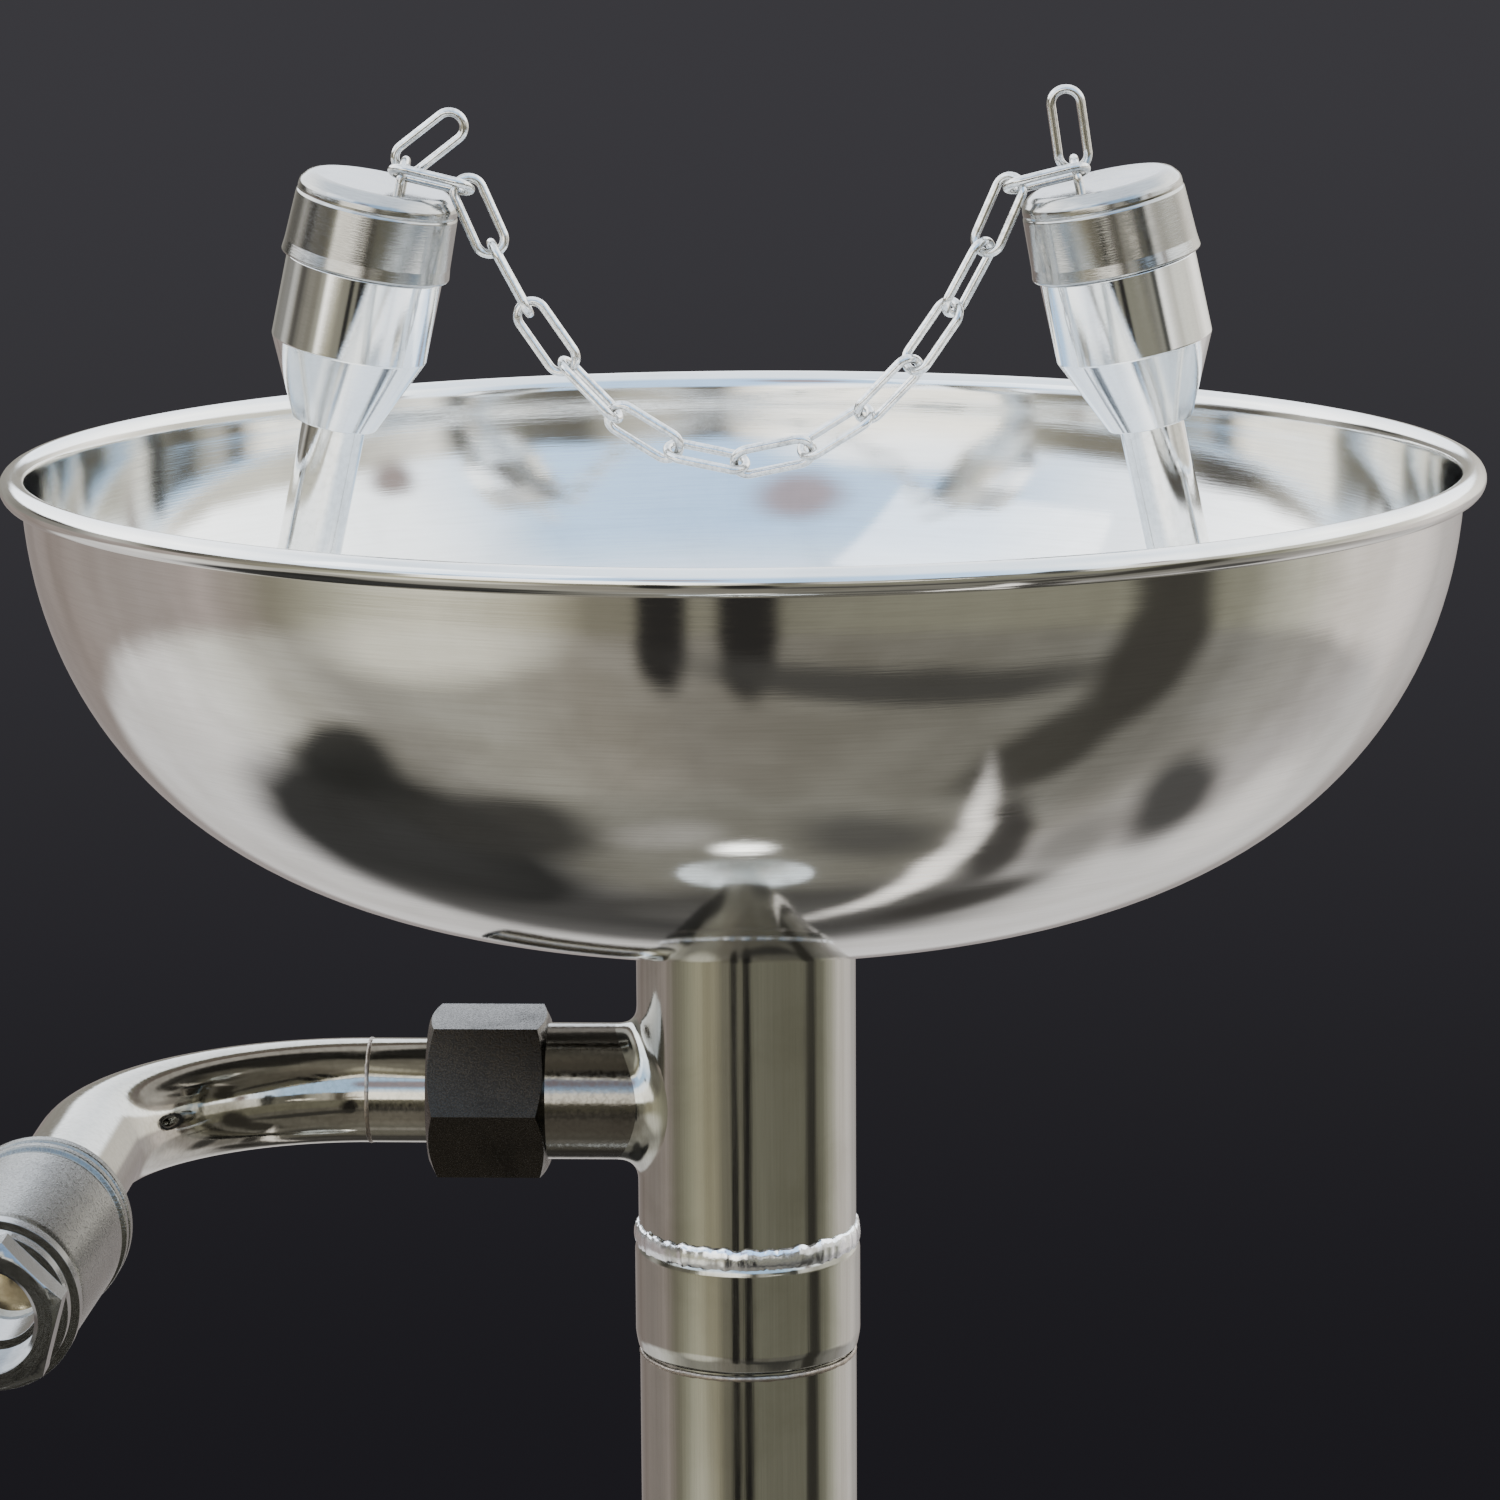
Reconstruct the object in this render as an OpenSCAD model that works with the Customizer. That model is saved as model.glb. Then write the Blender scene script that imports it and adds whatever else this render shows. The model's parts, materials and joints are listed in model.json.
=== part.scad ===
// Pedestal eyewash station: a spun basin on a drain column, two spray heads under
// chained dust caps, and a side inlet with a ball valve and a push plate.
// Millimetres, Z up. The origin is the middle of the base flange on the floor,
// the user stands at -Y, and the supply comes in on the -X side.

/* [Basin] */
// Height of the basin rim above the floor
rim_z = 950; // [900:1:1000]
// Outer radius of the basin wall under its rolled edge
bowl_r = 136; // [134:0.5:138]
// Depth of the basin below the rim
bowl_depth = 88.5; // [86:0.5:92]
// Thickness of the basin sheet
bowl_wall = 1.2; // [1:0.1:1.5]
// Squareness of the basin's side seen in section
side_power = 2.95; // [2.5:0.05:3.3]
// Squareness of the basin's floor seen in section
floor_power = 2.1; // [1.9:0.05:2.3]
// Thickness of the rolled edge
bead_d = 5; // [4:0.5:6]
// Radius of the drain hole
drain_r = 17.5; // [16:0.5:18.5]

/* [Column] */
// Outer radius of the column pipe
pipe_r = 21.2; // [20.8:0.1:21.6]
// Bore radius of the column pipe
pipe_bore = 19.7; // [19.2:0.1:20]
// Height of the drain tee's top end above the floor
waste_top = 220; // [200:1:300]
// Length of the drain tee
waste_len = 80; // [70:1:100]
// Radius of the base flange
flange_r = 100; // [95:1:120]
// Thickness of the base flange
flange_t = 8; // [6:1:10]
// Diameter of the circle of floor bolts
bolt_circle = 160; // [150:1:170]
// Number of floor bolts
bolt_count = 4; // [4:1:8]

/* [Spray heads] */
// Half the distance between the two heads at the foot of their caps
head_x = 70.4; // [66:0.1:76]
// Height of the foot of the caps above the yoke
head_z = 103.4; // [95:0.1:110]
// Tilt of each head towards the other
tilt = 12.5; // [10:0.5:15]
// Lean of both heads towards the user
lean = 4; // [2:0.5:6]
// Height of the yoke below the rim
yoke_drop = 66; // [64:0.5:68]
// Radius of the yoke tube
arm_r = 6.1; // [5.9:0.1:6.3]
// Bend radius of the yoke tube
arm_bend = 20; // [16:1:24]

/* [Caps and chain] */
// Outer radius of a cap at its foot
cap_r = 16; // [15.6:0.1:16.5]
// Height of a cap
cap_h = 16; // [15:0.5:18]
// Thickness of the chain's wire
wire_d = 1.7; // [1.5:0.1:1.7]
// Outer length of a link
link_len = 16.7; // [16.7:0.1:17]
// Outer width of a link
link_w = 7.2; // [7.2:0.1:7.6]
// Distance from one link to the next
pitch = 12.9; // [12.8:0.1:12.9]
// Links that hang free in each half of the chain
half_links = 6; // [5:1:6]
// Radius of curvature of the chain at its lowest point
sag_r = 30.88; // [30.6:0.02:31]

/* [Inlet] */
// Depth of the inlet axis below the rim
inlet_drop = 124.3; // [120:0.1:130]
// Distance of the valve's axis from the column's axis
valve_x = 121; // [115:1:125]
// Bend radius of the inlet pipe
bend_r = 48; // [44:1:50]
// Outer radius of the inlet pipe
inlet_r = 10.15; // [10:0.05:10.2]
// Width of the union nut across its flats
nut_af = 30; // [30:0.5:32]
// Distance of the valve's stem from the column's axis plane
stem_y = 117; // [114:1:125]

/* [Valve handle] */
// Length of the push plate
plate_len = 72; // [60:1:80]
// Width of the push plate
plate_w = 70; // [50:1:70]

/* [Hidden] */
$fn = 96;

steel = [0.74, 0.74, 0.71];
bright = [0.86, 0.87, 0.88];
dull = [0.46, 0.45, 0.43];
satin = [0.66, 0.69, 0.72];
white = [0.93, 0.92, 0.88];
black = [0.12, 0.12, 0.13];
green = [0.13, 0.52, 0.30];

e = 0.01;               // overshoot of a cut
bowl_z = rim_z - bowl_depth;
bowl_steps = 18;        // straight steps in the basin's section
flat_r = 24;            // radius of the basin's flat middle
bead_out = 1.5;         // how far the rolled edge's middle lies outside the wall

// Drain fittings, upwards from the basin's floor
gasket_t = 1;
strainer_r = 23;
strainer_t = 1.2;
locknut_t = 4.5;
locknut_af = 24;
floor_z = bowl_z + bowl_wall;
strainer_z = floor_z + gasket_t;
locknut_z = strainer_z + strainer_t;

// Internal feed pipe
feed_r = 8.6;
feed_bore = 7;
feed_bend = 20;
fit = 0.05;             // radial clearance of a pushed-in pipe
inlet_z = rim_z - inlet_drop;

// Column joints, downwards from the basin
head_low = rim_z - 151;
coupling_low = rim_z - 176;
coupling_r = pipe_r + 0.7;

// Drain tee and its threaded outlet
tee_r = pipe_r + 2.6;
outlet_y = 62;          // distance of the outlet's face from the column's axis
outlet_len = 24;
outlet_r = 19.5;
collar_len = 10;
plug_t = 12;

// Base flange
hub_r = pipe_r + 5;
hub_h = 20;
bolt_r = 6;

// Yoke
yoke_z = rim_z - yoke_drop;
yoke_r = 9;
yoke_half = 17;
yoke_low = 13.2;        // how far the yoke's foot reaches down
riser_top = 6;          // how far below the yoke's axis the feed pipe ends
yoke_depth = 7;         // how far an arm goes into the yoke
arm_bore = 5;
arm_turn = 90 + tilt;
turn_z = arm_bend * (1 + sin(tilt));
turn_x = head_x + (head_z - turn_z) * tan(tilt);
bend_x = turn_x - arm_bend * cos(tilt);

// Spray head, measured from the foot of its cap
body_r = 14.8;
body_low = -15.9;
neck_r = 8;
neck_low = -30.8;
arm_top = -22;          // how far up the yoke tube reaches into the head
spigot_r = 13.7;
spigot_top = 11.5;
chamber_r = 10.6;
chamber_low = -12;
seal_r = 13;
seal_wire = 0.85;
seal_z = 5;
cap_bore = 13.93;
cap_gap = 0.2;
cap_top = 2.6;          // thickness of a cap's top
cap_edge = 2;           // radius of a cap's top edge
cap_taper = 0.8;

// Staple on the cap and the chain
eye_x = -3.7;
eye_r = 3.6;
eye_z = cap_h + 1.4;
eye_turn = 30;          // where the chain's first link hangs on the staple
eye_over = 0.85;        // how far that link's end lies past the staple's middle
wire_r = wire_d / 2;
end_r = (link_w - wire_d) / 2;
hook_roll = -20;
hook_drop = 0.7;        // how far that link's low end hangs under the chain's line
chain_drop = 2.4;       // fall from that link's top to the chain's first joint
twist = 97.5;           // turn from one link to the next
end_lean = [40, -4];    // how the free link leans, left and right
end_y = 1.2;            // where the free link sits across the staple
link_gap = 0.18;        // slack between the free link and the staple

// Union
stub_r = 13.25;
stub_end = 54;
nut_near = 38.3;
nut_far = 61.3;
tail_flange = 1.6;
union_seal = 1.5;
tail_end = valve_x - bend_r;
nut_turn = 27;          // turn of the nut's flats about its axis
nut_cut = 0.8;          // how far its ends are turned in from the flats
nut_seat = stub_end + union_seal + tail_flange;

// Valve, measured along its own axis from the stem, the inlet side positive
valve_back = -32;
valve_face = 38;
body_front = 25;
ball_r = 11;
port_r = 7;
seat_r = 11.9;
thread_r = 9.4;
stem_r = 4;
boss_r = 8.5;
packing_x = 16.5;       // inner end of the stem's packing
packing_r = 6.6;
packing_t = 3.5;
lever_x = 27;           // inner face of the lever, from the valve's axis
lever_t = 3;
lever_w = 16;
tab_low = 34;
tab_high = 78;
tab_out = 66;
tab_holes = [46, 66];
screw_x = 52;
plate_low = 32;
plate_near = 16;        // edge of the push plate nearest the valve's axis
plate_t = 2;
hole_r = 3.1;

// -------- helpers --------

// Quarter of a superellipse as points from the rim to the floor
function side(r, d, steps) = [
  for (i = [1 : steps]) let (a = 90 * i / (steps + 1))
  [r * pow(cos(a), 2 / side_power), -d * pow(sin(a), 2 / floor_power)]
];
function rotate_x(p, a) = [p[0], p[1] * cos(a) - p[2] * sin(a), p[1] * sin(a) + p[2] * cos(a)];
function rotate_y(p, a) = [p[0] * cos(a) + p[2] * sin(a), p[1], p[2] * cos(a) - p[0] * sin(a)];
// A point of the right head, given from the foot of its cap, in the model's frame
function head_point(p) = [0, 0, yoke_z] + rotate_x([head_x, 0, head_z] + rotate_y(p, -tilt), lean);

module tube(outer, inner, h) {
  difference() {
    cylinder(r = outer, h = h);
    translate([0, 0, -e]) cylinder(r = inner, h = h + 2 * e);
  }
}

// Bent tube about the Z axis, starting on +X
module bent_tube(bend, angle, outer, inner) {
  rotate_extrude(angle = angle) translate([bend, 0]) difference() {
    circle(r = outer);
    circle(r = inner);
  }
}

module hex(af, h) { cylinder(r = af / 2 / cos(30), h = h, $fn = 6); }

// Hexagon with its corners turned off at the far end
module turned_hex(af, h, face_r) {
  corner = af / 2 / cos(30);
  intersection() {
    hex(af, h);
    union() {
      cylinder(r = corner + 1, h = h - (corner + 1 - face_r) * 0.5);
      translate([0, 0, h - (corner + 1 - face_r) * 0.5])
        cylinder(r1 = corner + 1, r2 = face_r, h = (corner + 1 - face_r) * 0.5);
    }
  }
}

module on_yoke() { translate([0, 0, yoke_z]) rotate([lean, 0, 0]) children(); }

// Right head's frame, or the left one by mirroring
module at_head(right) {
  on_yoke() mirror([right ? 0 : 1, 0, 0]) translate([head_x, 0, head_z]) rotate([0, -tilt, 0]) children();
}

// Along -X from the column's axis at the height of the inlet
module on_inlet() { translate([0, 0, inlet_z]) rotate([0, -90, 0]) children(); }

// The valve's axis, towards the supply
module on_valve() { translate([-valve_x, -stem_y, inlet_z]) rotate([90, 0, 0]) children(); }

// The stem's axis, away from the column
module on_stem() { translate([-valve_x, -stem_y, inlet_z]) rotate([0, -90, 0]) children(); }

// -------- basin --------

outside = side(bowl_r, bowl_depth, bowl_steps);
inside = side(bowl_r - bowl_wall, bowl_depth - bowl_wall, bowl_steps);
inner_floor = bowl_wall - bowl_depth;

module bowl() color(bright) translate([0, 0, rim_z]) difference() {
  union() {
    rotate_extrude() polygon(concat(
      [[bowl_r, -bead_d / 2]], outside, [[flat_r, -bowl_depth], [0, -bowl_depth]],
      [[0, inner_floor], [flat_r, inner_floor]],
      [for (i = [bowl_steps : -1 : 1]) inside[i - 1]],
      [[bowl_r - bowl_wall, -bead_d / 2]]));
    translate([0, 0, -bead_d / 2]) rotate_extrude() translate([bowl_r + bead_out, 0]) circle(d = bead_d);
  }
  translate([0, 0, -bowl_depth - 1]) cylinder(r = drain_r, h = 10);
}

module drain_gasket() color(black) translate([0, 0, floor_z])
  tube(strainer_r - 0.5, drain_r + 0.5, gasket_t);

module drain_strainer() color(steel) difference() {
  union() {
    translate([0, 0, strainer_z]) cylinder(r = strainer_r, h = strainer_t);
    translate([0, 0, strainer_z - 6]) tube(drain_r - 0.3, drain_r - 1.3, 6 + e);
  }
  translate([0, 0, strainer_z - e]) cylinder(r = feed_r + fit, h = strainer_t + 1);
  for (i = [0 : 11]) rotate(30 * i) translate([14.3, 0, strainer_z - 1]) cylinder(r = 1.7, h = 4);
  for (i = [0 : 17]) rotate(20 * i) translate([20, 0, strainer_z - e]) cylinder(r = 0.6, h = 4);
}

module riser_locknut() color(steel) translate([0, 0, locknut_z]) difference() {
  turned_hex(locknut_af, locknut_t, locknut_af / 2 - 0.5);
  translate([0, 0, -e]) cylinder(r = feed_r + fit, h = locknut_t + 1);
}

// -------- column and internal feed --------

module column_head() color(steel) difference() {
  union() {
    translate([0, 0, head_low]) cylinder(r = pipe_r, h = bowl_z - head_low);
    on_inlet() cylinder(r = stub_r, h = stub_end);
  }
  translate([0, 0, head_low - e]) cylinder(r = pipe_bore, h = bowl_z - head_low + 2 * e);
  on_inlet() cylinder(r = feed_r + fit, h = stub_end + 1);
}

// Along the inlet's axis, then a quarter turn up to the column's axis
module feed_elbow() color(steel) {
  on_inlet() translate([0, 0, feed_bend]) tube(feed_r, feed_bore, stub_end - feed_bend);
  translate([-feed_bend, 0, inlet_z + feed_bend]) rotate([90, 0, 0]) rotate([0, 0, -90])
    bent_tube(feed_bend, 90, feed_r, feed_bore);
}

module feed_riser() color(steel) translate([0, 0, inlet_z + feed_bend])
  tube(feed_r, feed_bore, yoke_z - riser_top - inlet_z - feed_bend - 0.2);

module column_coupling() color(steel) translate([0, 0, coupling_low]) rotate_extrude() polygon([
  [pipe_bore, 0], [pipe_r - 0.5, 0], [pipe_r - 0.5, 1], [coupling_r - 0.4, 1.6], [coupling_r, 3.4],
  [coupling_r, 20.6], [coupling_r - 0.4, 22], [pipe_r - 0.6, 22.8], [pipe_r - 0.6, 25], [pipe_bore, 25]
]);

module column_pipe() color(steel) translate([0, 0, waste_top])
  tube(pipe_r, pipe_bore, coupling_low - waste_top);

module waste_tee() color(steel) translate([0, 0, waste_top - waste_len]) difference() {
  union() {
    cylinder(r = tee_r, h = waste_len);
    on_outlet(0) cylinder(r = tee_r, h = outlet_y - collar_len);
    on_outlet(outlet_y - collar_len) cylinder(r = tee_r + 2, h = collar_len);
  }
  translate([0, 0, -e]) cylinder(r = pipe_bore, h = waste_len + 2 * e);
  on_outlet(0) cylinder(r = outlet_r - 1, h = outlet_y + 1);
  on_outlet(outlet_y - outlet_len) cylinder(r = outlet_r, h = outlet_len + 1);
}

// The drain tee's outlet, a distance y from the column's axis
module on_outlet(y) { translate([0, y, waste_len / 2]) rotate([-90, 0, 0]) children(); }

module base_pipe() color(steel) translate([0, 0, 1]) tube(pipe_r, pipe_bore, waste_top - waste_len - 1);

module base_plug() color(black) translate([0, 0, waste_top - waste_len - plug_t - 2])
  cylinder(r = pipe_bore - 0.1, h = plug_t);

module base_flange() color(steel) difference() {
  union() {
    cylinder(r = flange_r, h = flange_t);
    translate([0, 0, flange_t]) cylinder(r1 = hub_r + 2, r2 = hub_r, h = 6);
    translate([0, 0, flange_t]) cylinder(r = hub_r, h = hub_h);
  }
  translate([0, 0, -e]) cylinder(r = pipe_r + fit, h = flange_t + hub_h + 1);
  for (i = [0 : bolt_count - 1]) rotate(360 / bolt_count * (i + 0.5))
    translate([bolt_circle / 2, 0, -e]) cylinder(r = bolt_r, h = flange_t + 1);
}

// -------- yoke --------

module yoke_tee() color(bright) translate([0, 0, yoke_z]) difference() {
  union() {
    translate([-yoke_half, 0, 0]) rotate([0, 90, 0]) cylinder(r = yoke_r, h = 2 * yoke_half);
    translate([0, 0, -yoke_low]) cylinder(r = yoke_r + 1.5, h = yoke_low);
  }
  translate([-yoke_half - 1, 0, 0]) rotate([0, 90, 0]) cylinder(r = arm_bore, h = 2 * yoke_half + 2);
  for (s = [0, 1]) mirror([s, 0, 0]) translate([yoke_half - yoke_depth, 0, 0]) rotate([0, 90, 0])
    cylinder(r = arm_r + fit, h = yoke_depth + 1);
  translate([0, 0, -yoke_low - 1]) cylinder(r = feed_bore, h = yoke_low + 1);
  translate([0, 0, -yoke_low - 1]) cylinder(r = feed_r + fit, h = yoke_low + 1 - riser_top);
}

module yoke_arm(right) color(bright) on_yoke() mirror([right ? 0 : 1, 0, 0]) {
  translate([yoke_half - yoke_depth, 0, 0]) rotate([0, 90, 0])
    tube(arm_r, arm_bore, bend_x - yoke_half + yoke_depth);
  translate([bend_x, 0, arm_bend]) rotate([90, 0, 0]) rotate([0, 0, -90])
    bent_tube(arm_bend, arm_turn, arm_r, arm_bore);
  translate([head_x, 0, head_z]) rotate([0, -tilt, 0]) translate([0, 0, arm_top])
    mirror([0, 0, 1]) tube(arm_r, arm_bore, (head_z - turn_z) / cos(tilt) + arm_top);
}
module yoke_arm_left() { yoke_arm(false); }
module yoke_arm_right() { yoke_arm(true); }

// -------- spray heads --------

module head_body(right) color(bright) at_head(right) difference() {
  union() {
    translate([0, 0, body_low]) cylinder(r = body_r, h = -cap_gap - body_low);
    translate([0, 0, neck_low]) cylinder(r1 = neck_r, r2 = body_r, h = body_low - neck_low);
    translate([0, 0, -cap_gap - e]) cylinder(r = spigot_r, h = spigot_top + cap_gap);
  }
  translate([0, 0, chamber_low]) cylinder(r = chamber_r, h = 30);
  translate([0, 0, neck_low - 1]) cylinder(r = arm_r + fit, h = arm_top - neck_low + 1);
  translate([0, 0, neck_low]) cylinder(r = arm_bore, h = 20);
  translate([0, 0, seal_z]) rotate_extrude() translate([seal_r - seal_wire, -1]) square([3, 2]);
}
module head_body_left() { head_body(false); }
module head_body_right() { head_body(true); }

module flow_regulator(right) color(white) at_head(right) difference() {
  translate([0, 0, chamber_low]) cylinder(r = chamber_r - fit, h = 4);
  translate([0, 0, chamber_low - 1]) cylinder(r = 1.5, h = 6);
  for (i = [0 : 5]) rotate(60 * i) translate([5, 0, chamber_low - 1]) cylinder(r = 1, h = 6);
}
module flow_regulator_left() { flow_regulator(false); }
module flow_regulator_right() { flow_regulator(true); }

module spray_plate(right) color(steel) at_head(right) difference() {
  translate([0, 0, spigot_top - 2.5]) cylinder(r = chamber_r - fit, h = 1.5);
  translate([0, 0, spigot_top - 3]) cylinder(r = 0.9, h = 3);
  for (i = [0 : 5]) rotate(60 * i) translate([3.6, 0, spigot_top - 3]) cylinder(r = 0.8, h = 3);
  for (i = [0 : 11]) rotate(30 * i) translate([7.2, 0, spigot_top - 3]) cylinder(r = 0.8, h = 3);
}
module spray_plate_left() { spray_plate(false); }
module spray_plate_right() { spray_plate(true); }

module head_seal(right) color(black) at_head(right) translate([0, 0, seal_z])
  rotate_extrude() translate([seal_r, 0]) circle(r = seal_wire);
module head_seal_left() { head_seal(false); }
module head_seal_right() { head_seal(true); }

// -------- caps and chain --------

module dust_cap(right) color(satin) at_head(right) difference() {
  rotate_extrude() polygon(concat(
    [[0, 0], [cap_r - 0.3, 0], [cap_r, 0.3]],
    [for (a = [0 : 15 : 90])
      [cap_r - cap_taper + cap_edge * (cos(a) - 1), cap_h + cap_edge * (sin(a) - 1)]],
    [[0, cap_h]]));
  translate([0, 0, -e]) cylinder(r = cap_bore, h = cap_h - cap_top);
  for (y = [-eye_r, eye_r]) translate([eye_x, y, cap_h - 4]) cylinder(r = wire_r + 0.02, h = 6);
}
module dust_cap_left() { dust_cap(false); }
module dust_cap_right() { dust_cap(true); }

module cap_eye(right) color(bright) at_head(right) translate([eye_x, 0, 0]) {
  translate([0, 0, eye_z]) rotate([90, 0, 90]) rotate_extrude(angle = 180)
    translate([eye_r, 0]) circle(r = wire_r);
  for (y = [-eye_r, eye_r]) translate([0, y, cap_h - cap_top])
    cylinder(r = wire_r, h = eye_z - cap_h + cap_top);
}
module cap_eye_left() { cap_eye(false); }
module cap_eye_right() { cap_eye(true); }

// One link, long axis along X, lying in the XY plane
module chain_link() {
  straight = link_len / 2 - link_w / 2;
  for (s = [-1, 1]) {
    translate([-straight, s * end_r, 0]) rotate([0, 90, 0]) cylinder(r = wire_r, h = 2 * straight);
    translate([s * straight, 0, 0]) rotate(-90 * s) rotate_extrude(angle = 180)
      translate([end_r, 0]) circle(r = wire_r);
  }
}

// A link between two points of the chain's plane
module link_between(a, b, roll) {
  translate((a + b) / 2) rotate([0, -atan2(b[2] - a[2], b[0] - a[0]), 0]) rotate([roll, 0, 0]) chain_link();
}

eye_point = head_point([eye_x + eye_over, -eye_r * cos(eye_turn), eye_z + eye_r * sin(eye_turn)]);
chain_y = eye_point[1];
hang_end = half_links * pitch;
hang_top = eye_point[2] - chain_drop;
// Point of the right half of the chain, a length s from the chain's lowest point
function hang(s) = [
  sag_r * ln(s / sag_r + sqrt(1 + pow(s / sag_r, 2))), chain_y,
  hang_top - sqrt(pow(sag_r, 2) + pow(hang_end, 2)) + sqrt(pow(sag_r, 2) + s * s)
];

module hook_link(right) color(bright) mirror([right ? 0 : 1, 0, 0])
  link_between(hang(hang_end) - [0, 0, hook_drop], eye_point, hook_roll);
module hook_link_left() { hook_link(false); }
module hook_link_right() { hook_link(true); }

module half_chain(right) color(bright) mirror([right ? 0 : 1, 0, 0])
  for (i = [1 : half_links])
    link_between(hang((half_links - i) * pitch), hang((half_links - i + 1) * pitch),
      hook_roll + (right ? -twist : twist) * i);
module chain_left() { half_chain(false); }
module chain_right() { half_chain(true); }

// The chain's spare last link, which stands up in the staple
module end_link(right) color(bright) at_head(right)
  translate([eye_x, end_y, eye_z + sqrt(pow(eye_r, 2) - pow(end_y, 2))])
  rotate([0, right ? -end_lean[1] : -end_lean[0], 0]) rotate([0, -90, 0]) rotate([90, 0, 0])
  translate([link_len / 2 - 1.5 * wire_d - link_gap, 0, 0]) chain_link();
module end_link_left() { end_link(false); }
module end_link_right() { end_link(true); }

// -------- inlet --------

module union_nut() color(dull) on_inlet() difference() {
  intersection() {
    translate([0, 0, nut_near]) rotate(nut_turn)
      turned_hex(nut_af, nut_far - nut_near, nut_af / 2 - nut_cut);
    translate([0, 0, nut_near])
      cylinder(r1 = nut_af / 2 - nut_cut, r2 = nut_af / 2 - nut_cut + 2 * (nut_far - nut_near),
        h = nut_far - nut_near);
  }
  translate([0, 0, nut_near - 1]) cylinder(r = stub_r + fit, h = nut_seat - nut_near + 1.1);
  cylinder(r = inlet_r + fit, h = nut_far + 1);
}

module union_gasket() color(black) on_inlet() translate([0, 0, stub_end])
  tube(stub_r - 0.6, feed_r, union_seal);

module union_tail() color(steel) on_inlet() translate([0, 0, stub_end + union_seal]) difference() {
  union() {
    cylinder(r = stub_r - 0.1, h = tail_flange);
    cylinder(r = inlet_r, h = tail_end - stub_end - union_seal);
  }
  translate([0, 0, -e]) cylinder(r = feed_r, h = tail_end);
}

module inlet_bend() color(steel) {
  translate([-tail_end, -bend_r, inlet_z]) rotate(90) bent_tube(bend_r, 90, inlet_r, feed_r);
  on_valve() translate([0, 0, bend_r - stem_y]) tube(inlet_r, feed_r, stem_y - bend_r + valve_back + 6);
}

// -------- valve --------

module valve_body() color(steel) difference() {
  union() {
    on_valve() rotate_extrude() polygon([
      [0, valve_back], [12, valve_back], [12.6, valve_back + 0.6], [12.6, -27],
      [15.8, -21], [15.8, -16], [15.3, -15.4], [14.8, -15.4], [14.8, -13.6],
      [15.4, -13.2], [14.5, 23], [13.9, body_front], [0, body_front]]);
    on_stem() cylinder(r = boss_r, h = 22);
  }
  on_valve() translate([0, 0, -12]) cylinder(r = seat_r + 0.1, h = 50);
  on_valve() translate([0, 0, valve_back - 1]) cylinder(r = port_r, h = 30);
  on_valve() translate([0, 0, valve_back - 1]) cylinder(r = inlet_r + fit, h = 7);
  on_stem() cylinder(r = stem_r + fit, h = 30);
  on_stem() translate([0, 0, packing_x]) cylinder(r = packing_r, h = 10);
}

module valve_end() color(steel) on_valve() difference() {
  union() {
    translate([0, 0, 12]) cylinder(r = seat_r, h = 14);
    translate([0, 0, body_front + 0.6]) cylinder(r = 14.9, h = 3);
    translate([0, 0, body_front]) cylinder(r = 13.4, h = 6.5);
    translate([0, 0, body_front + 6]) rotate(15) turned_hex(24, valve_face - body_front - 6, 11.6);
  }
  translate([0, 0, 11]) cylinder(r = port_r + 0.5, h = 30);
  translate([0, 0, valve_face - 14]) cylinder(r = thread_r, h = 20);
}

// Closed at rest: the ball's bore stands upright, across the flow
module valve_ball() color(bright) translate([-valve_x, -stem_y, inlet_z]) difference() {
  sphere(r = ball_r);
  translate([0, 0, -ball_r - 1]) cylinder(r = port_r, h = 2 * ball_r + 2);
  translate([-ball_r - 1, -1.6, -6]) cube([4.5, 3.2, 12]);
}

module valve_seats() color(white) on_valve() for (s = [0, 1]) mirror([0, 0, s]) difference() {
  translate([0, 0, 7.6]) cylinder(r = seat_r, h = 4.4);
  cylinder(r = port_r, h = 13);
  sphere(r = ball_r + fit);
}

module valve_stem() color(steel) on_stem() {
  difference() {
    union() {
      translate([0, 0, 7.9]) cylinder(r = stem_r - 0.6, h = 4);
      translate([0, 0, 11.5]) cylinder(r = stem_r, h = 26);
    }
    for (s = [-1, 1]) translate([-10, s > 0 ? 1.5 : -11.5, 7]) cube([20, 10, 4.4]);
  }
}

module stem_packing() color(white) on_stem() translate([0, 0, packing_x])
  tube(packing_r - fit, stem_r + fit, packing_t);

module gland_nut() color(dull) on_stem() difference() {
  union() {
    translate([0, 0, packing_x + packing_t]) cylinder(r = packing_r - fit, h = 3);
    translate([0, 0, 22.1]) turned_hex(14, 4, 6.6);
  }
  translate([0, 0, 19]) cylinder(r = stem_r + fit, h = 10);
}

// Upright at rest; pushing the plate away from the user turns it down to the back
module valve_lever() color(steel) translate([-valve_x, -stem_y, inlet_z]) difference() {
  union() {
    translate([-lever_x, 0, 0]) rotate([0, -90, 0]) cylinder(r = lever_w / 2 + 1, h = lever_t);
    translate([-lever_x - lever_t, -lever_w / 2, 0]) cube([lever_t, lever_w, tab_high]);
    translate([-tab_out, -lever_w / 2, tab_low]) cube([tab_out - lever_x, lever_t, tab_high - tab_low]);
  }
  translate([-lever_x + 1, 0, 0]) rotate([0, -90, 0]) cylinder(r = stem_r + fit, h = 10);
  for (z = tab_holes) translate([-screw_x, -lever_w / 2 - 1, z]) rotate([-90, 0, 0])
    cylinder(r = hole_r, h = 5);
}

module lever_nut() color(dull) on_stem() translate([0, 0, lever_x + lever_t]) difference() {
  turned_hex(13, 5, 6);
  translate([0, 0, -e]) cylinder(r = stem_r + fit, h = 7);
}

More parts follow.
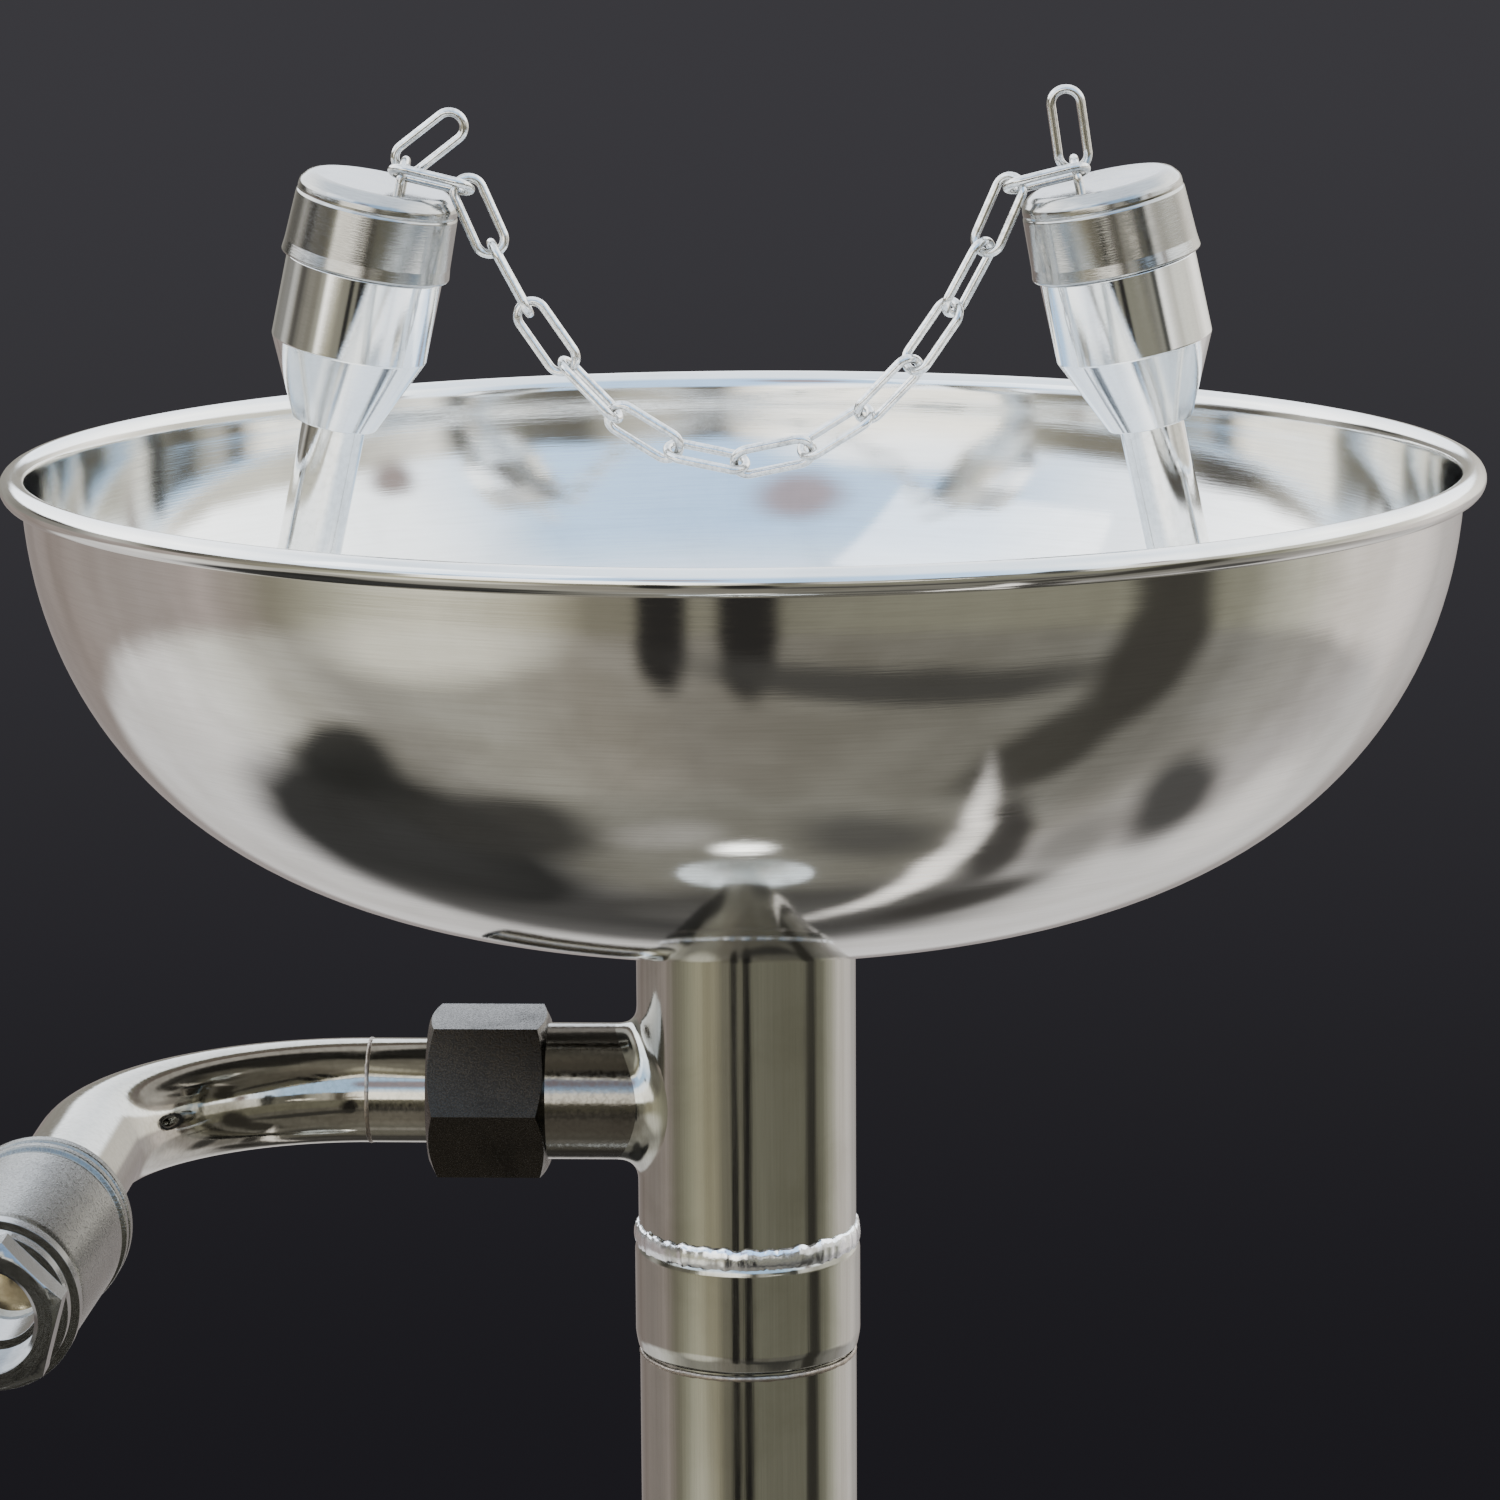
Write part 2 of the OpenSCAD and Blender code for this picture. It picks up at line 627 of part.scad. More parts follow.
module push_plate() color(green) translate([-valve_x, -stem_y - lever_w / 2, inlet_z]) difference() {
  rotate([90, 0, 0]) linear_extrude(plate_t) plate_outline();
  for (z = tab_holes) translate([-screw_x, 1, z]) rotate([90, 0, 0]) cylinder(r = hole_r, h = 5);
}

module plate_outline() {
  corner = 8;
  for (x = [corner, plate_w - corner], z = [corner, plate_len - corner])
    translate([-plate_near - x, plate_low + z]) circle(r = corner);
  translate([-plate_near - plate_w + corner, plate_low]) square([plate_w - 2 * corner, plate_len]);
  translate([-plate_near - plate_w, plate_low + corner]) square([plate_w, plate_len - 2 * corner]);
}

module at_screws() {
  for (z = tab_holes)
    translate([-valve_x - screw_x, -stem_y - lever_w / 2 - plate_t, inlet_z + z])
      rotate([90, 0, 0]) children();
}

module plate_screws() color(bright) at_screws() {
  cylinder(r1 = 5.4, r2 = 3.6, h = 2.6);
  translate([0, 0, -plate_t - lever_t - 6]) cylinder(r = hole_r - fit, h = plate_t + lever_t + 6 + e);
}

module plate_nuts() color(bright) at_screws() translate([0, 0, -plate_t - lever_t - 4.5]) difference() {
  hex(10, 4.5);
  translate([0, 0, -e]) cylinder(r = hole_r, h = 6);
}

bowl();
drain_gasket();
drain_strainer();
riser_locknut();
column_head();
feed_elbow();
feed_riser();
yoke_tee();
yoke_arm_left();
yoke_arm_right();
head_body_left();
head_body_right();
flow_regulator_left();
flow_regulator_right();
spray_plate_left();
spray_plate_right();
head_seal_left();
head_seal_right();
dust_cap_left();
dust_cap_right();
cap_eye_left();
cap_eye_right();
end_link_left();
end_link_right();
hook_link_left();
hook_link_right();
chain_left();
chain_right();
union_nut();
union_tail();
union_gasket();
inlet_bend();
valve_body();
valve_end();
valve_ball();
valve_seats();
valve_stem();
stem_packing();
gland_nut();
valve_lever();
lever_nut();
push_plate();
plate_screws();
plate_nuts();
column_coupling();
column_pipe();
waste_tee();
base_pipe();
base_plug();
base_flange();
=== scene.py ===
import json
from math import cos, pi, radians, sin, sqrt

import bmesh
import bpy
from mathutils import Matrix, Vector, noise


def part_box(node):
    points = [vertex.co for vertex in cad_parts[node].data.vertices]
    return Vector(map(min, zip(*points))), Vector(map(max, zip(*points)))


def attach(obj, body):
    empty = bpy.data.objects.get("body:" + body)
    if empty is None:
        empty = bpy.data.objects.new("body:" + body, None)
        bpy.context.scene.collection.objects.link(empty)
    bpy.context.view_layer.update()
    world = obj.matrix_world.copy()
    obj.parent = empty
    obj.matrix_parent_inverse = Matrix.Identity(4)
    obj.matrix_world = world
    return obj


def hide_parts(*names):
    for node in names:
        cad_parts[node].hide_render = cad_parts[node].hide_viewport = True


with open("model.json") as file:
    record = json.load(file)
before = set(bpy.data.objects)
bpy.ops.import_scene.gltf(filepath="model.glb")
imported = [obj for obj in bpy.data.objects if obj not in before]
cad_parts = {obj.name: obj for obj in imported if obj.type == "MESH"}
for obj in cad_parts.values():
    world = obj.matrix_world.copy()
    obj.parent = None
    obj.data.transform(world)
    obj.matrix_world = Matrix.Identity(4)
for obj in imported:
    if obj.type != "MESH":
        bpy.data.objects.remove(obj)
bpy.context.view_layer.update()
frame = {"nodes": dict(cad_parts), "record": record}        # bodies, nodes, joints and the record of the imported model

nodes = frame["nodes"]
mm = 0.001
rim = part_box("bowl")[1].z
inletZ = (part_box("union_tail")[0].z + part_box("union_tail")[1].z) / 2

# the view

camera = {"distance": 1.0, "azimuth": 2.5, "height": 0.1347, "pitch": 10.84, "roll": -0.35, "yaw": -0.06,
          "lens": 127.4, "sensor": 36}


def placeCamera(c):
    data = bpy.data.cameras.new("camera")
    data.lens = c["lens"]
    data.sensor_width = c["sensor"]
    eye = bpy.data.objects.new("camera", data)
    bpy.context.scene.collection.objects.link(eye)
    a = radians(c["azimuth"])
    place = Vector((c["distance"] * sin(a), -c["distance"] * cos(a), rim + c["height"]))
    turn = (Matrix.Rotation(a + radians(c["yaw"]), 4, "Z")
            @ Matrix.Rotation(radians(90 - c["pitch"]), 4, "X")
            @ Matrix.Rotation(radians(c["roll"]), 4, "Z"))
    eye.matrix_world = Matrix.Translation(place) @ turn
    bpy.context.scene.camera = eye


placeCamera(camera)
print("camera placed")

# shader helpers


def add(tree, kind, inputs=None, **settings):
    made = tree.nodes.new(kind)
    for name, value in settings.items():
        setattr(made, name, value)
    for name, value in (inputs or {}).items():
        if isinstance(value, bpy.types.NodeSocket):
            tree.links.new(value, made.inputs[name])
        else:
            made.inputs[name].default_value = value
    return made


def calc(tree, operation, a, b=0.0):
    return add(tree, "ShaderNodeMath", {0: a, 1: b}, operation=operation).outputs[0]


def dot(tree, a, b):
    return add(tree, "ShaderNodeVectorMath", {0: a, 1: b}, operation="DOT_PRODUCT").outputs["Value"]


def span(tree, value, low, high, toLow=0.0, toHigh=1.0):
    made = add(tree, "ShaderNodeMapRange", {0: value, 1: low, 2: high, 3: toLow, 4: toHigh},
               interpolation_type="SMOOTHSTEP")
    return made.outputs[0]


def mixColour(tree, fac, a, b):
    made = add(tree, "ShaderNodeMix", data_type="RGBA")
    for name, value in (("Factor_Float", fac), ("A_Color", a), ("B_Color", b)):
        socket = next(s for s in made.inputs if s.identifier == name)
        if isinstance(value, bpy.types.NodeSocket):
            tree.links.new(value, socket)
        else:
            socket.default_value = value if name == "Factor_Float" else (*value, 1.0)
    return next(s for s in made.outputs if s.identifier == "Result_Color")


def ramp(tree, value, stops):
    made = add(tree, "ShaderNodeValToRGB", {0: value})
    points = made.color_ramp.elements
    while len(points) > 1:
        points.remove(points[-1])
    points[0].position = stops[0][0]
    points[0].color = (*stops[0][1], 1.0)
    for place, colour in stops[1:]:
        points.new(place).color = (*colour, 1.0)
    return made.outputs["Color"]


def newGroup(name, inputs, outputs):
    tree = bpy.data.node_groups.new(name, "ShaderNodeTree")
    for label, kind in inputs.items():
        tree.interface.new_socket(name=label, in_out="INPUT", socket_type="NodeSocket" + kind)
    for label, kind in outputs.items():
        tree.interface.new_socket(name=label, in_out="OUTPUT", socket_type="NodeSocket" + kind)
    return tree, tree.nodes.new("NodeGroupInput").outputs, tree.nodes.new("NodeGroupOutput")


def finishGroup(tree, end, **results):
    for name, socket in results.items():
        tree.links.new(socket, end.inputs[name])
    return tree


def use(tree, group, **inputs):
    made = tree.nodes.new("ShaderNodeGroup")
    made.node_tree = group
    for name, value in inputs.items():
        if isinstance(value, bpy.types.NodeSocket):
            tree.links.new(value, made.inputs[name])
        else:
            made.inputs[name].default_value = value
    return made


# the surroundings that the steel mirrors: sky above, yard below, dark and bright cards

yard = {
    # azimuth from the user's side in degrees, positive towards +X, and the colour seen there
    "ground": [(-180, (1.0, 0.97, 0.96)), (-140, (1.05, 1.02, 1.01)), (-114, (1.5, 1.46, 1.44)),
               (-97, (1.15, 1.12, 1.02)), (-84, (0.80, 0.77, 0.68)), (-70, (0.44, 0.42, 0.37)),
               (-50, (0.52, 0.50, 0.43)), (-25, (0.42, 0.39, 0.33)), (-8, (0.31, 0.29, 0.25)),
               (15, (0.27, 0.255, 0.215)), (60, (0.26, 0.25, 0.215)), (92, (0.30, 0.29, 0.26)),
               (106, (0.44, 0.42, 0.38)), (128, (0.66, 0.62, 0.60)), (150, (1.0, 0.97, 0.95)),
               (180, (1.0, 0.97, 0.96))],
    "band": [(-180, (0.40, 0.36, 0.35)), (-140, (0.38, 0.32, 0.29)), (-108, (0.56, 0.49, 0.46)),
             (-92, (0.62, 0.53, 0.49)), (-78, (0.36, 0.335, 0.26)), (-62, (0.52, 0.50, 0.37)),
             (-50, (0.72, 0.67, 0.47)), (-32, (0.60, 0.55, 0.39)), (-22, (0.31, 0.29, 0.22)),
             (12, (0.31, 0.30, 0.23)), (90, (0.36, 0.35, 0.27)), (104, (0.85, 0.82, 0.68)),
             (116, (1.5, 1.4, 1.3)), (140, (1.2, 1.1, 1.05)), (150, (0.8, 0.75, 0.72)),
             (180, (0.40, 0.36, 0.35))],
    "horizon": [(-180, (0.5, 0.48, 0.43)), (-136, (0.30, 0.29, 0.26)), (-118, (0.34, 0.33, 0.30)),
                (-108, (0.80, 0.78, 0.72)), (-98, (0.38, 0.36, 0.31)), (-90, (0.12, 0.115, 0.10)),
                (-76, (0.30, 0.28, 0.23)), (-58, (0.33, 0.31, 0.25)), (-50, (0.50, 0.48, 0.38)),
                (-44, (3.0, 2.9, 2.6)), (-6, (3.6, 3.5, 3.2)), (2, (2.0, 1.9, 1.7)), (6, (0.21, 0.19, 0.15)),
                (10, (0.24, 0.22, 0.18)), (16, (1.1, 1.06, 0.94)), (24, (0.75, 0.73, 0.62)),
                (30, (0.20, 0.19, 0.16)), (38, (0.22, 0.21, 0.18)), (44, (0.34, 0.33, 0.27)),
                (49, (0.10, 0.10, 0.09)), (53, (0.12, 0.12, 0.11)), (57, (2.0, 1.98, 1.85)),
                (75, (1.0, 0.97, 0.85)), (92, (1.3, 1.27, 1.1)), (112, (1.2, 1.15, 1.0)),
                (135, (2.6, 2.5, 2.3)), (180, (0.5, 0.48, 0.43))],
    "sky": [(-180, (2.6, 2.8, 3.1)), (-110, (4.4, 4.5, 4.6)), (-70, (2.8, 3.1, 3.5)), (-45, (1.2, 1.7, 2.4)),
            (0, (0.95, 1.48, 2.25)), (40, (1.1, 1.65, 2.4)), (66, (3.0, 3.2, 3.4)),
            (130, (4.2, 4.3, 4.3)), (180, (2.6, 2.8, 3.1))],
    "nadir": (0.30, 0.29, 0.25),
    "zenith": (2.2, 2.5, 2.9),
    # where each layer starts and is full, as the height of a unit ray
    "edges": {"nadir": (-0.86, -0.97), "band": (-0.42, -0.35), "horizon": (-0.15, -0.08), "sky": (0.14, 0.20),
              "zenith": (0.55, 0.9)},
    "waveScale": 5.0, "wavePush": 0.055,
    "earthScale": 3.5, "earthShade": (0.6, 0.58, 0.55), "earthStrength": 0.45,
    "backdropEdge": (-0.34, -0.03),
    "backdropLow": (0.0142, 0.0134, 0.0170), "backdropHigh": (0.050, 0.0485, 0.055),
}
cards = [
    # name, azimuth, elevation, half width, half height, turn, colour, strength, softness
    ("sunlit path", -50, -26, 17, 7, 0, (1.35, 1.3, 1.1), 0.85, 0.55),
    ("dark stake left", -10.5, -22, 3.9, 15, -2, (0.032, 0.03, 0.028), 1.0, 0.28),
    ("dark stake right", 2.9, -23, 4.3, 16, 1, (0.032, 0.03, 0.028), 1.0, 0.28),
    ("shadow on the yard", 31, -36, 30, 4.8, -1, (0.075, 0.072, 0.066), 0.94, 0.4),
    ("dark post", 74.5, -27, 8.4, 18, 1, (0.062, 0.058, 0.050), 0.97, 0.3),
    ("post's foot", 69, -50, 7.5, 13, -8, (0.068, 0.064, 0.055), 0.95, 0.35),
    ("shaded yard behind", 178, -62, 15, 14, 0, (0.075, 0.072, 0.066), 0.93, 0.35),
    ("dark kerb", 115, -66, 17, 2.8, 0, (0.06, 0.056, 0.052), 0.95, 0.45),
    ("kerb's far end", 160, -56, 8, 3.5, 20, (0.06, 0.056, 0.052), 0.9, 0.5),
    ("bright kerb", 118, -70.5, 24, 1.7, -2, (2.1, 2.0, 1.9), 0.95, 0.5),
    ("low shrub right", 122, -48, 13, 5.0, -4, (0.075, 0.073, 0.07), 0.95, 0.45),
    ("pale yard right", 146, -37, 9, 5, 0, (1.3, 1.24, 1.2), 0.7, 0.7),
    ("dark yard left", -120, -57, 25, 16, -6, (0.030, 0.030, 0.029), 0.98, 0.25),
    ("its near end", -89, -47, 11, 6.5, 14, (0.038, 0.038, 0.036), 0.97, 0.35),
    ("its far end", -168, -50, 14, 8, 0, (0.07, 0.068, 0.065), 0.9, 0.45),
    ("its low part", -86, -67, 12, 9, 0, (0.06, 0.058, 0.054), 0.95, 0.4),
    ("dull yard right", 128, -58, 8, 4, 0, (0.27, 0.26, 0.24), 0.8, 0.6),
    ("soft shade below", 72, -77, 10, 6, 0, (0.095, 0.092, 0.085), 0.85, 0.6),
    ("pale slab below", -45, -79, 6, 4, 0, (0.55, 0.53, 0.49), 0.7, 0.6),
    ("lamp below", -4, -86.5, 2.6, 1.5, 0, (5.0, 5.0, 4.8), 1.0, 0.6),
    ("white cloud", -27, 12, 21, 5.0, 0, (3.4, 3.5, 3.6), 0.85, 0.5),
    ("brick shed", -8, 26, 7.5, 7.0, 0, (0.62, 0.38, 0.30), 0.8, 0.5),
    ("brick wall", 67, 13, 4.0, 4.5, 20, (0.30, 0.17, 0.13), 0.9, 0.5),
    ("bright wall foot", 30, -2, 8, 1.8, 0, (2.4, 2.3, 2.0), 0.9, 0.4),
    ("dark sill", 1, -2, 4.5, 1.8, 0, (0.30, 0.27, 0.22), 0.8, 0.5),
    ("dark shutter", 49.5, 7, 3.6, 6.5, 0, (0.09, 0.088, 0.08), 0.95, 0.3),
    ("dark window", -42.5, 15, 2.8, 2.4, 0, (0.16, 0.15, 0.13), 0.9, 0.4),
    ("dark bush", -90, 5, 7, 4.5, 0, (0.12, 0.11, 0.095), 0.9, 0.4),
    ("dark gate", -128, 8, 9, 3.5, 8, (0.07, 0.065, 0.058), 0.9, 0.4),
]


def heading(azimuth, elevation):
    a = radians(azimuth)
    e = radians(elevation)
    return Vector((sin(a) * cos(e), -cos(a) * cos(e), sin(e)))


def makeCardGroup():
    tree, start, end = newGroup("card", {"Direction": "Vector", "Middle": "Vector", "Across": "Vector",
                                         "Along": "Vector", "Soft": "Float"}, {"Mask": "Float"})
    across = dot(tree, start["Direction"], start["Across"])
    along = dot(tree, start["Direction"], start["Along"])
    square = calc(tree, "ADD", calc(tree, "MULTIPLY", across, across), calc(tree, "MULTIPLY", along, along))
    reach = calc(tree, "SQRT", square)
    outer = calc(tree, "ADD", 1.0, start["Soft"])
    inner = calc(tree, "SUBTRACT", 1.0, start["Soft"])
    inside = span(tree, reach, outer, inner)
    facing = calc(tree, "GREATER_THAN", dot(tree, start["Direction"], start["Middle"]))
    return finishGroup(tree, end, Mask=calc(tree, "MULTIPLY", inside, facing))


def addVector(tree, operation, a, b):
    return add(tree, "ShaderNodeVectorMath", {0: a, 1: b}, operation=operation).outputs[0]


def makeLayers(tree, ray, y):
    part = add(tree, "ShaderNodeSeparateXYZ", {0: ray}).outputs
    height = part["Z"]
    around = calc(tree, "ARCTAN2", part["X"], calc(tree, "MULTIPLY", part["Y"], -1.0))
    around = calc(tree, "ADD", calc(tree, "DIVIDE", around, 2 * pi), 0.5)
    layers = {name: ramp(tree, around, [(a / 360 + 0.5, colour) for a, colour in y[name]])
              for name in ("ground", "band", "horizon", "sky")}
    layers.update(nadir=y["nadir"], zenith=y["zenith"])
    view = layers["ground"]
    for name, edge in y["edges"].items():
        view = mixColour(tree, span(tree, height, *edge), view, layers[name])
    patches = add(tree, "ShaderNodeTexNoise", {"Vector": ray, "Scale": y["earthScale"],
                                               "Detail": 5.0}).outputs[0]
    earth = calc(tree, "MULTIPLY", span(tree, patches, 0.62, 0.38), span(tree, height, 0.2, 0.0))
    darker = addVector(tree, "MULTIPLY", view, y["earthShade"])
    return mixColour(tree, calc(tree, "MULTIPLY", earth, y["earthStrength"]), view, darker)


def makeCards(tree, ray, view):
    group = makeCardGroup()
    for name, a, e, wide, high, turn, colour, strength, soft in cards:
        middle = heading(a, e)
        across = Vector((cos(radians(a)), sin(radians(a)), 0.0))
        along = across.cross(-middle)
        t = radians(turn)
        across, along = across * cos(t) + along * sin(t), along * cos(t) - across * sin(t)
        made = use(tree, group, Direction=ray, Middle=middle, Across=across / sin(radians(wide)),
                   Along=along / sin(radians(high)), Soft=soft)
        made.label = name
        view = mixColour(tree, calc(tree, "MULTIPLY", made.outputs["Mask"], strength), view, colour)
    return view


def makeWorld(y):
    world = bpy.data.worlds.new("yard")
    bpy.context.scene.world = world
    world.use_nodes = True
    tree = world.node_tree
    tree.nodes.clear()
    straight = add(tree, "ShaderNodeTexCoord").outputs["Generated"]
    waves = add(tree, "ShaderNodeTexNoise", {"Vector": straight, "Scale": y["waveScale"],
                                             "Detail": 3.0}).outputs["Color"]
    push = addVector(tree, "ADD", waves, (-0.5, -0.5, -0.5))
    push = add(tree, "ShaderNodeVectorMath", {0: push, "Scale": y["wavePush"]}, operation="SCALE").outputs[0]
    bent = addVector(tree, "ADD", straight, push)
    ray = add(tree, "ShaderNodeVectorMath", {0: bent}, operation="NORMALIZE").outputs[0]
    view = makeCards(tree, ray, makeLayers(tree, ray, y))
    height = add(tree, "ShaderNodeSeparateXYZ", {0: straight}).outputs["Z"]
    rise = span(tree, height, *y["backdropEdge"])
    backdrop = ramp(tree, rise, [(0.0, y["backdropLow"]), (1.0, y["backdropHigh"])])
    unseen = add(tree, "ShaderNodeBackground", {"Color": view, "Strength": 1.0}).outputs[0]
    seen = add(tree, "ShaderNodeBackground", {"Color": backdrop, "Strength": 1.0}).outputs[0]
    eye = add(tree, "ShaderNodeLightPath").outputs["Is Camera Ray"]
    both = add(tree, "ShaderNodeMixShader", {0: eye, 1: unseen, 2: seen}).outputs[0]
    add(tree, "ShaderNodeOutputWorld", {"Surface": both})


makeWorld(yard)
print("surroundings made")

# finishes


def makeTurnedGrain():
    tree, start, end = newGroup("turned grain", {"Vector": "Vector", "Lines": "Float", "Arc": "Float"},
                                {"Mask": "Float"})
    flat = addVector(tree, "MULTIPLY", start["Vector"], (1, 1, 0))
    radius = add(tree, "ShaderNodeVectorMath", {0: flat}, operation="LENGTH").outputs["Value"]
    unit = add(tree, "ShaderNodeVectorMath", {0: flat}, operation="NORMALIZE").outputs[0]
    part = add(tree, "ShaderNodeSeparateXYZ", {0: unit}).outputs
    height = add(tree, "ShaderNodeSeparateXYZ", {0: start["Vector"]}).outputs["Z"]
    place = add(tree, "ShaderNodeCombineXYZ", {
        0: calc(tree, "MULTIPLY", part["X"], start["Arc"]),
        1: calc(tree, "MULTIPLY", part["Y"], start["Arc"]),
        2: calc(tree, "MULTIPLY", height, start["Lines"])}).outputs[0]
    lines = add(tree, "ShaderNodeTexNoise", {
        "Vector": place, "W": calc(tree, "MULTIPLY", radius, start["Lines"]), "Scale": 1.0, "Detail": 4.0,
        "Roughness": 0.65}, noise_dimensions="4D").outputs[0]
    return finishGroup(tree, end, Mask=lines)


def makeDrawnGrain():
    tree, start, end = newGroup("drawn grain", {"Vector": "Vector", "Lines": "Float", "Run": "Float"},
                                {"Mask": "Float"})
    part = add(tree, "ShaderNodeSeparateXYZ", {0: start["Vector"]}).outputs
    place = add(tree, "ShaderNodeCombineXYZ", {
        0: calc(tree, "MULTIPLY", part["X"], start["Lines"]),
        1: calc(tree, "MULTIPLY", part["Y"], start["Lines"]),
        2: calc(tree, "MULTIPLY", part["Z"], start["Run"])}).outputs[0]
    lines = add(tree, "ShaderNodeTexNoise", {"Vector": place, "Scale": 1.0, "Detail": 4.0,
                                             "Roughness": 0.6}).outputs[0]
    return finishGroup(tree, end, Mask=lines)


# one cloud for real dull smudges in the roughness and for painted reflection blotches darkening the colour
def makeSmudgeAndReflection():
    tree, start, end = newGroup("smudge_and_reflection", {"Vector": "Vector", "Scale": "Float", "Low": "Float",
                                           "High": "Float"}, {"Mask": "Float"})
    cloud = add(tree, "ShaderNodeTexNoise", {
        "Vector": start["Vector"], "Scale": start["Scale"], "Detail": 6.0, "Roughness": 0.6,
        "Distortion": 0.6}).outputs[0]
    return finishGroup(tree, end, Mask=span(tree, cloud, start["Low"], start["High"]))


def makeCastSkin():
    tree, start, end = newGroup("cast skin", {"Vector": "Vector", "Scale": "Float"}, {"Mask": "Float"})
    place = {"Vector": start["Vector"], "Scale": start["Scale"]}
    fine = add(tree, "ShaderNodeTexNoise", {**place, "Detail": 3.0, "Roughness": 0.7}).outputs[0]
    cell = add(tree, "ShaderNodeTexVoronoi", place).outputs["Distance"]
    return finishGroup(tree, end, Mask=calc(tree, "MULTIPLY", fine, calc(tree, "ADD", cell, 0.5)))


groups = {"turned": makeTurnedGrain(), "drawn": makeDrawnGrain(), "smudge_and_reflection": makeSmudgeAndReflection(),
          "cast": makeCastSkin()}

finishes = {
    # colour and its darker shade, roughness low and high, grain kind with its two scales, bump, scale of the smudges
    # with their painted reflection blotches
    "spun basin": dict(colour=(0.78, 0.78, 0.76), shade=(0.58, 0.57, 0.545), rough=(0.042, 0.088),
                       grain="turned", lines=2600.0, run=9.0, bump=0.035, smudge_and_reflection=22.0),
    "brushed pipe": dict(colour=(0.44, 0.445, 0.42), shade=(0.33, 0.33, 0.295), rough=(0.055, 0.12),
                         grain="drawn", lines=2200.0, run=30.0, bump=0.04, smudge_and_reflection=45.0),
    # the brushed pipe's steel made darker: painted shade where the basin hangs over the stub
    "stub steel with painted shade": dict(colour=(0.22, 0.21, 0.19), shade=(0.15, 0.14, 0.125), rough=(0.08, 0.17),
                        grain="cast", lines=1100.0, run=1.0, bump=0.06, smudge_and_reflection=50.0),
    "turned pipe": dict(colour=(0.60, 0.58, 0.53), shade=(0.46, 0.44, 0.38), rough=(0.12, 0.22),
                        grain="turned", lines=3200.0, run=8.0, bump=0.08, smudge_and_reflection=60.0),
    "heat tint": dict(colour=(0.30, 0.26, 0.22), shade=(0.12, 0.10, 0.09), rough=(0.30, 0.50),
                      grain="cast", lines=1600.0, run=1.0, bump=0.3, smudge_and_reflection=120.0),
    "weld bead": dict(colour=(0.86, 0.88, 0.92), shade=(0.60, 0.63, 0.70), rough=(0.08, 0.20),
                      grain="cast", lines=900.0, run=1.0, bump=0.15, smudge_and_reflection=90.0),
    # near black, far below bare steel: partly the dull machined skin, partly painted shade under the basin
    "machined hexagon with painted shade": dict(colour=(0.042, 0.036, 0.030), shade=(0.024, 0.021, 0.018), rough=(0.20, 0.34),
                             grain="cast", lines=2600.0, run=1.0, bump=0.12, smudge_and_reflection=80.0),
    # darker than bare cast steel: partly the blasted skin, partly painted shade under the basin
    "blasted casting with painted shade": dict(colour=(0.19, 0.19, 0.18), shade=(0.11, 0.112, 0.112), rough=(0.16, 0.28),
                            grain="cast", lines=2200.0, run=1.0, bump=0.30, smudge_and_reflection=55.0),
    "turned end": dict(colour=(0.24, 0.245, 0.25), shade=(0.14, 0.145, 0.15), rough=(0.10, 0.20),
                       grain="turned", lines=4200.0, run=6.0, bump=0.10, smudge_and_reflection=70.0),
    "polished head": dict(colour=(0.80, 0.81, 0.82), shade=(0.62, 0.64, 0.66), rough=(0.035, 0.08),
                          grain="turned", lines=5200.0, run=10.0, bump=0.03, smudge_and_reflection=60.0),
    "satin cap": dict(colour=(0.38, 0.375, 0.36), shade=(0.25, 0.248, 0.24), rough=(0.08, 0.16),
                      grain="turned", lines=4200.0, run=7.0, bump=0.08, smudge_and_reflection=70.0),
    "polished tube": dict(colour=(0.76, 0.76, 0.75), shade=(0.56, 0.56, 0.55), rough=(0.04, 0.10),
                          grain="cast", lines=700.0, run=1.0, bump=0.03, smudge_and_reflection=60.0),
    "drawn bend": dict(colour=(0.42, 0.405, 0.36), shade=(0.28, 0.265, 0.23), rough=(0.045, 0.11),
                       grain="cast", lines=800.0, run=1.0, bump=0.03, smudge_and_reflection=50.0),
    "ball": dict(colour=(0.80, 0.72, 0.52), shade=(0.62, 0.54, 0.36), rough=(0.10, 0.20),
                 grain="cast", lines=900.0, run=1.0, bump=0.02, smudge_and_reflection=60.0),
    "nickel wire": dict(colour=(0.72, 0.71, 0.69), shade=(0.26, 0.25, 0.23), rough=(0.06, 0.16),
                        grain="cast", lines=1500.0, run=1.0, bump=0.06, smudge_and_reflection=260.0),
}
plainFinishes = {
    "seal rubber": dict(colour=(0.022, 0.022, 0.024), shade=(0.045, 0.045, 0.045), rough=(0.55, 0.75),
                        lines=900.0, bump=0.25, smudge_and_reflection=90.0),
    "white plastic": dict(colour=(0.80, 0.79, 0.74), shade=(0.66, 0.64, 0.58), rough=(0.35, 0.5),
                          lines=1400.0, bump=0.08, smudge_and_reflection=80.0),
    "green powder coat": dict(colour=(0.02, 0.20, 0.075), shade=(0.012, 0.14, 0.05), rough=(0.30, 0.42),
                              lines=1300.0, bump=0.30, smudge_and_reflection=45.0),
}


# how far grain, smudges and the painted reflection blotches change a finish
wear = {"smudge_and_reflection": (0.45, 0.72), "scuff": (0.3, 0.7), "tone": (0.35, 0.75), "smudgeRough": 0.5,
        "smudgeAndReflectionTone": 0.45, "grainTone": 0.35, "bumpDepth": 0.0002}


